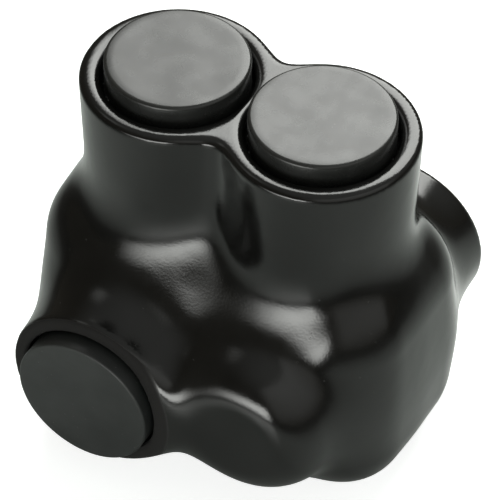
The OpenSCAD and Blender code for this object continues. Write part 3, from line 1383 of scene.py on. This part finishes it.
@dataclass
class SetScrew:
    """A headless set screw: turned thread, chamfered ends and a hexagon socket."""

    side: Side
    radius: float = 6.35
    length: float = 11.0
    tip: float = 22.6
    pitch: float = 1.27
    depth: float = 0.72
    chamfer: float = 0.7
    point: float = 1.4
    root_flat: float = 0.06
    flank: float = 0.36
    thread_rows: int = 12
    socket_width: float = 6.35
    socket_depth: float = 6.0
    sink_radii: tuple[float, float] = (-0.65, 1.05)
    sink_heights: tuple[float, float] = (-0.8, 0.9)
    drill_tip: float = 0.1
    drill_share: float = 0.48
    drill_heights: tuple[float, float] = (-1.4, 0.2)
    sides: int = 96
    sharp: float = 32.0

    @property
    def word(self) -> str:
        """Which of the two screws it is."""
        return "left" if self.side is Side.FRONT_LEFT else "right"

    def build(self) -> bpy.types.Object:
        """Models the screw.

        Returns:
            The finished object, in its place.
        """
        name = f"threaded_screw_{self.word}"
        screw = add_cylinder(name, self.radius, (0, 0, 0), (0, 0, self.length), self.sides)
        rows = round(self.length / self.pitch * self.thread_rows)
        with editing(screw):
            pick_edges(lambda a, b: abs(a.z - b.z) > 1)
            bpy.ops.mesh.subdivide(number_cuts=rows)
        move_points(screw, self._turn_thread(points_of(screw)))
        reach = self.socket_width / math.sqrt(3)
        floor = self.length - self.socket_depth
        carve(screw, add_cylinder("socket", reach, (0, 0, floor), (0, 0, self.length + 1), 6))
        radii = (reach + r for r in self.sink_radii)
        heights = (self.length + h for h in self.sink_heights)
        carve(screw, add_cone(self.sides, *radii, *heights))
        heights = (floor + h for h in self.drill_heights)
        drill = self.socket_width * self.drill_share
        carve(screw, add_cone(self.sides, self.drill_tip, drill, *heights))
        smooth_below(screw, self.sharp)
        spot = Vector((self.side.value * TOWER_X, 0, self.tip))
        screw.matrix_world = Matrix.Translation(spot * MM)
        settle_place(screw)
        return screw

    def _turn_thread(self, points: np.ndarray) -> np.ndarray:
        """Turns the thread and the chamfers into the plain bar's wall.

        Args:
            points: The bar's points in millimetres.

        Returns:
            The points on the thread.
        """
        x, y, z = points.T
        phase = (z / self.pitch - np.arctan2(y, x) / math.tau) % 1.0
        flank = np.clip((np.abs(phase - 0.5) - self.root_flat) / self.flank, 0, 1)
        wall = self.radius - self.depth * (1 - flank)
        point = self.radius - self.point + z
        chamfer = self.radius - self.chamfer + self.length - z
        share = np.minimum(wall, np.minimum(point, chamfer)) / np.hypot(x, y)
        return np.stack([x * share, y * share, z], 1)

    def fit(self, material: bpy.types.Material) -> bpy.types.Object:
        """Builds, dresses and places the screw.

        Args:
            material: Its finish.

        Returns:
            The screw.
        """
        screw = self.build()
        dress(screw, material)
        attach(screw, f"screw_{self.word}")
        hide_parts(f"set_screw_{self.word}")
        return screw


@dataclass
class ConnectorBody:
    """The aluminium body, whose solid is kept as it is."""

    finish: TinnedFinish = field(default_factory=TinnedFinish)

    def fit(self, effects: Effects) -> bpy.types.Object:
        """Dresses the body's solid.

        Args:
            effects: The shared effects.

        Returns:
            The body's object.
        """
        body = frame["nodes"]["connector_body"]
        dress(body, self.finish.make(effects))
        return body


def cap_place(side: Side) -> Matrix:
    """Where a cap's face lies, over its tower."""
    return Matrix.Translation(Vector((side.value * TOWER_X, 0, CAP_FACE)) * MM)


def plug_place(side: Side) -> Matrix:
    """Where a plug's face lies, in front of its port."""
    spot = Vector((side.value * TOWER_X, side.value * PLUG_FACE, WIRE_Z)) * MM
    return Matrix.Translation(spot) @ Matrix.Rotation(-side.value * math.pi / 2, 4, "X")


# The studio


@dataclass(frozen=True)
class Softbox:
    """A softbox, by its direction from the object and its brightness against white.

    Each fade is the share of the box, from one of its edges, over which it comes up to
    that brightness: from the left and right edges, from the lower edge and from the upper one.
    """

    name: str
    azimuth: float
    elevation: float
    distance: float
    width: float
    height: float
    brightness: float
    level: float = 0.03
    side_fade: tuple[float, float] = (0.1, 0.1)
    foot_fade: float = 0.1
    top_fade: float = 0.1
    tint: Colour = (0.985, 1.0, 0.965, 1.0)

    def hang(self) -> bpy.types.Object:
        """Adds the softbox, turned to the object.

        Returns:
            The lamp's object.
        """
        data = bpy.data.lights.new(self.name, "AREA")
        data.shape = "RECTANGLE"
        data.size, data.size_y = self.width, self.height
        data.energy = self.brightness * math.pi * self.width * self.height
        lamp = bpy.data.objects.new(self.name, data)
        bpy.context.scene.collection.objects.link(lamp)
        a, e = math.radians(self.azimuth), math.radians(self.elevation)
        way = Vector((math.sin(a) * math.cos(e), math.cos(a) * math.cos(e), math.sin(e)))
        lamp.location = way * self.distance + Vector((0, 0, self.level))
        lamp.visible_camera = False
        lamp.rotation_mode = "QUATERNION"
        lamp.rotation_quaternion = (-way).to_track_quat("-Z", "Y")
        self._soften(data)
        return lamp

    def _soften(self, data: bpy.types.AreaLight) -> None:
        """Lets the box dim towards its edges.

        Args:
            data: The lamp's data.
        """
        data.use_nodes = True
        graph = Graph(data.node_tree)
        across, up, _ = graph.axes(graph.node("NewGeometry").outputs["Parametric"])
        glow: object = 1.0
        for spot, fade in (
            (across, self.side_fade[0]),
            (graph.maths("SUBTRACT", 1.0, across), self.side_fade[1]),
            (up, self.foot_fade),
            (graph.maths("SUBTRACT", 1.0, up), self.top_fade),
        ):
            glow = graph.maths("MULTIPLY", glow, graph.span(spot, 0.0, fade, 0.0, 1.0))
        lit = data.node_tree.nodes["Emission"]
        lit.inputs["Color"].default_value = self.tint
        graph.feed(lit.inputs["Strength"], glow)


@dataclass(frozen=True)
class PhotoCamera:
    """The photograph's camera, as fitted to the outlines of the caps and the plug."""

    azimuth: float = 29.63
    elevation: float = 45.22
    roll: float = 0.34
    distance: float = 500.0
    focal: float = 3593.0
    frame: float = 500.0
    target: tuple[float, float, float] = (0.2, 0.0, 27.63)

    def place(self) -> bpy.types.Object:
        """Adds the camera.

        Returns:
            The camera's object.
        """
        a, e, r = (math.radians(v) for v in (self.azimuth, self.elevation, self.roll))
        back = Vector((math.sin(a) * math.cos(e), -math.cos(a) * math.cos(e), math.sin(e)))
        level = Vector((math.cos(a), math.sin(a), 0.0))
        rise = back.cross(level)
        right = level * math.cos(r) + rise * math.sin(r)
        up = rise * math.cos(r) - level * math.sin(r)
        data = bpy.data.cameras.new("photo_camera")
        data.sensor_width = 36.0
        data.lens = self.focal / self.frame * data.sensor_width
        data.clip_start, data.clip_end = 0.01, 20.0
        camera = bpy.data.objects.new("photo_camera", data)
        bpy.context.scene.collection.objects.link(camera)
        turn = Matrix((right, up, back)).transposed().to_4x4()
        spot = (Vector(self.target) + back * self.distance) * MM
        camera.matrix_world = Matrix.Translation(spot) @ turn
        bpy.context.scene.camera = camera
        return camera


@dataclass
class Studio:
    """The floor, the lamps, the surrounding light and the camera."""

    floor_finish: FloorFinish = field(default_factory=FloorFinish)
    wall: Colour = (0.106, 0.096, 0.078, 1.0)
    ceiling: Colour = (0.42, 0.426, 0.407, 1.0)
    light_from: tuple[float, float, float] = (0.25, 0.12, 0.82)
    light_span: tuple[float, float] = (0.25, 0.95)
    backdrop: Colour = (1.0, 1.0, 1.0, 1.0)
    floor_radius: float = 3.0
    boxes: tuple[Softbox, ...] = (
        Softbox(
            "front_card",
            azimuth=186.2,
            elevation=0.0,
            distance=0.17,
            width=0.173,
            height=0.076,
            brightness=9.0,
            level=0.038,
            side_fade=(0.72, 0.12),
            foot_fade=0.35,
            top_fade=0.45,
        ),
        Softbox(
            "back_softbox",
            azimuth=-11.0,
            elevation=43.0,
            distance=0.50,
            width=0.46,
            height=0.34,
            brightness=7.8,
            side_fade=(0.2, 0.3),
        ),
        Softbox(
            "side_card",
            azimuth=118.0,
            elevation=28.0,
            distance=0.50,
            width=1.00,
            height=0.68,
            brightness=0.46,
            side_fade=(0.25, 0.15),
            foot_fade=0.4,
            top_fade=0.2,
        ),
        Softbox(
            "window",
            azimuth=257.0,
            elevation=54.0,
            distance=0.50,
            width=0.28,
            height=0.22,
            brightness=0.65,
            side_fade=(0.45, 0.45),
            foot_fade=0.45,
            top_fade=0.45,
        ),
    )
    camera: PhotoCamera = field(default_factory=PhotoCamera)

    def set_up(self) -> None:
        """Builds the studio."""
        bpy.context.scene.view_settings.view_transform = "Standard"
        self._lay_floor()
        for box in self.boxes:
            box.hang()
        self._light_room()
        self.camera.place()

    def _lay_floor(self) -> None:
        """Lays the floor under the object."""
        put_down()
        bpy.ops.mesh.primitive_circle_add(
            vertices=96, radius=self.floor_radius, fill_type="NGON", location=(0, 0, 0)
        )
        floor = bpy.context.active_object
        floor.name = floor.data.name = "floor"
        dress(floor, self.floor_finish.make())

    def _light_room(self) -> None:
        """Lights the room all round: dim walls, a paler ceiling and a white backdrop."""
        world = bpy.data.worlds.new("room")
        world.use_nodes = True
        graph = Graph(world.node_tree)
        seen = graph.node("LightPath").outputs["Is Camera Ray"]
        lean = graph.node("VectorMath", operation="DOT_PRODUCT")
        graph.feed(lean.inputs[0], graph.node("TexCoord").outputs["Generated"])
        lean.inputs[1].default_value = self.light_from
        share = graph.span(lean.outputs["Value"], *self.light_span, 0.0, 1.0)
        room = graph.blend(share, self.wall, self.ceiling)
        sky = world.node_tree.nodes["Background"].inputs["Color"]
        graph.feed(sky, graph.blend(seen, room, self.backdrop))
        bpy.context.scene.world = world


def report(piece: bpy.types.Object) -> None:
    """Logs a piece's name and how many triangles it has."""
    triangles = sum(len(face.vertices) - 2 for face in piece.data.polygons)
    LOG.info("%s: %d triangles", piece.name, triangles)


def main() -> None:
    """Builds the studio and every piece, in order."""
    logging.basicConfig(level=logging.INFO, format="%(name)s %(message)s")
    Studio().set_up()
    effects = Effects()
    report(InsulatingCover().fit(effects))
    report(ConnectorBody().fit(effects))
    metal = MachinedFinish().make(effects)
    cap_rubber = RubberFinish(
        "cap_rubber",
        deep=(0.017, 0.018, 0.017, 1.0),
        pale=(0.025, 0.026, 0.025, 1.0),
        smooth=0.25,
        dull=0.31,
    ).make(effects)
    # The plugs are of the caps' rubber, painted darker: painted shade for their faces and sides,
    # which sit less lit in the ports' mouths.
    shaded_plug_rubber = RubberFinish(
        "shaded_plug_rubber",
        deep=(0.0125, 0.0143, 0.014, 1.0),
        pale=(0.0185, 0.0205, 0.02, 1.0),
        smooth=0.40,
        dull=0.50,
    ).make(effects)
    for side, tower, port in (
        (Side.FRONT_LEFT, "left", "front"),
        (Side.REAR_RIGHT, "right", "rear"),
    ):
        report(SetScrew(side).fit(metal))
        cap = PushInCup(
            f"soft_cap_{tower}",
            node=f"screw_cap_{tower}",
            body=f"cap_{tower}",
            slot="cap",
            radius=10.0,
            head=5.4,
            place=cap_place(side),
            seed=side.value,
        )
        report(cap.fit(cap_rubber))
        plug = PushInCup(
            f"soft_plug_{port}",
            node=f"wire_plug_{port}",
            body=f"plug_{port}",
            slot="plug",
            radius=10.2,
            head=4.7,
            place=plug_place(side),
            edge=0.3,
            seed=3 + side.value,
        )
        report(plug.fit(shaded_plug_rubber))


if __name__ == "__main__":
    main()
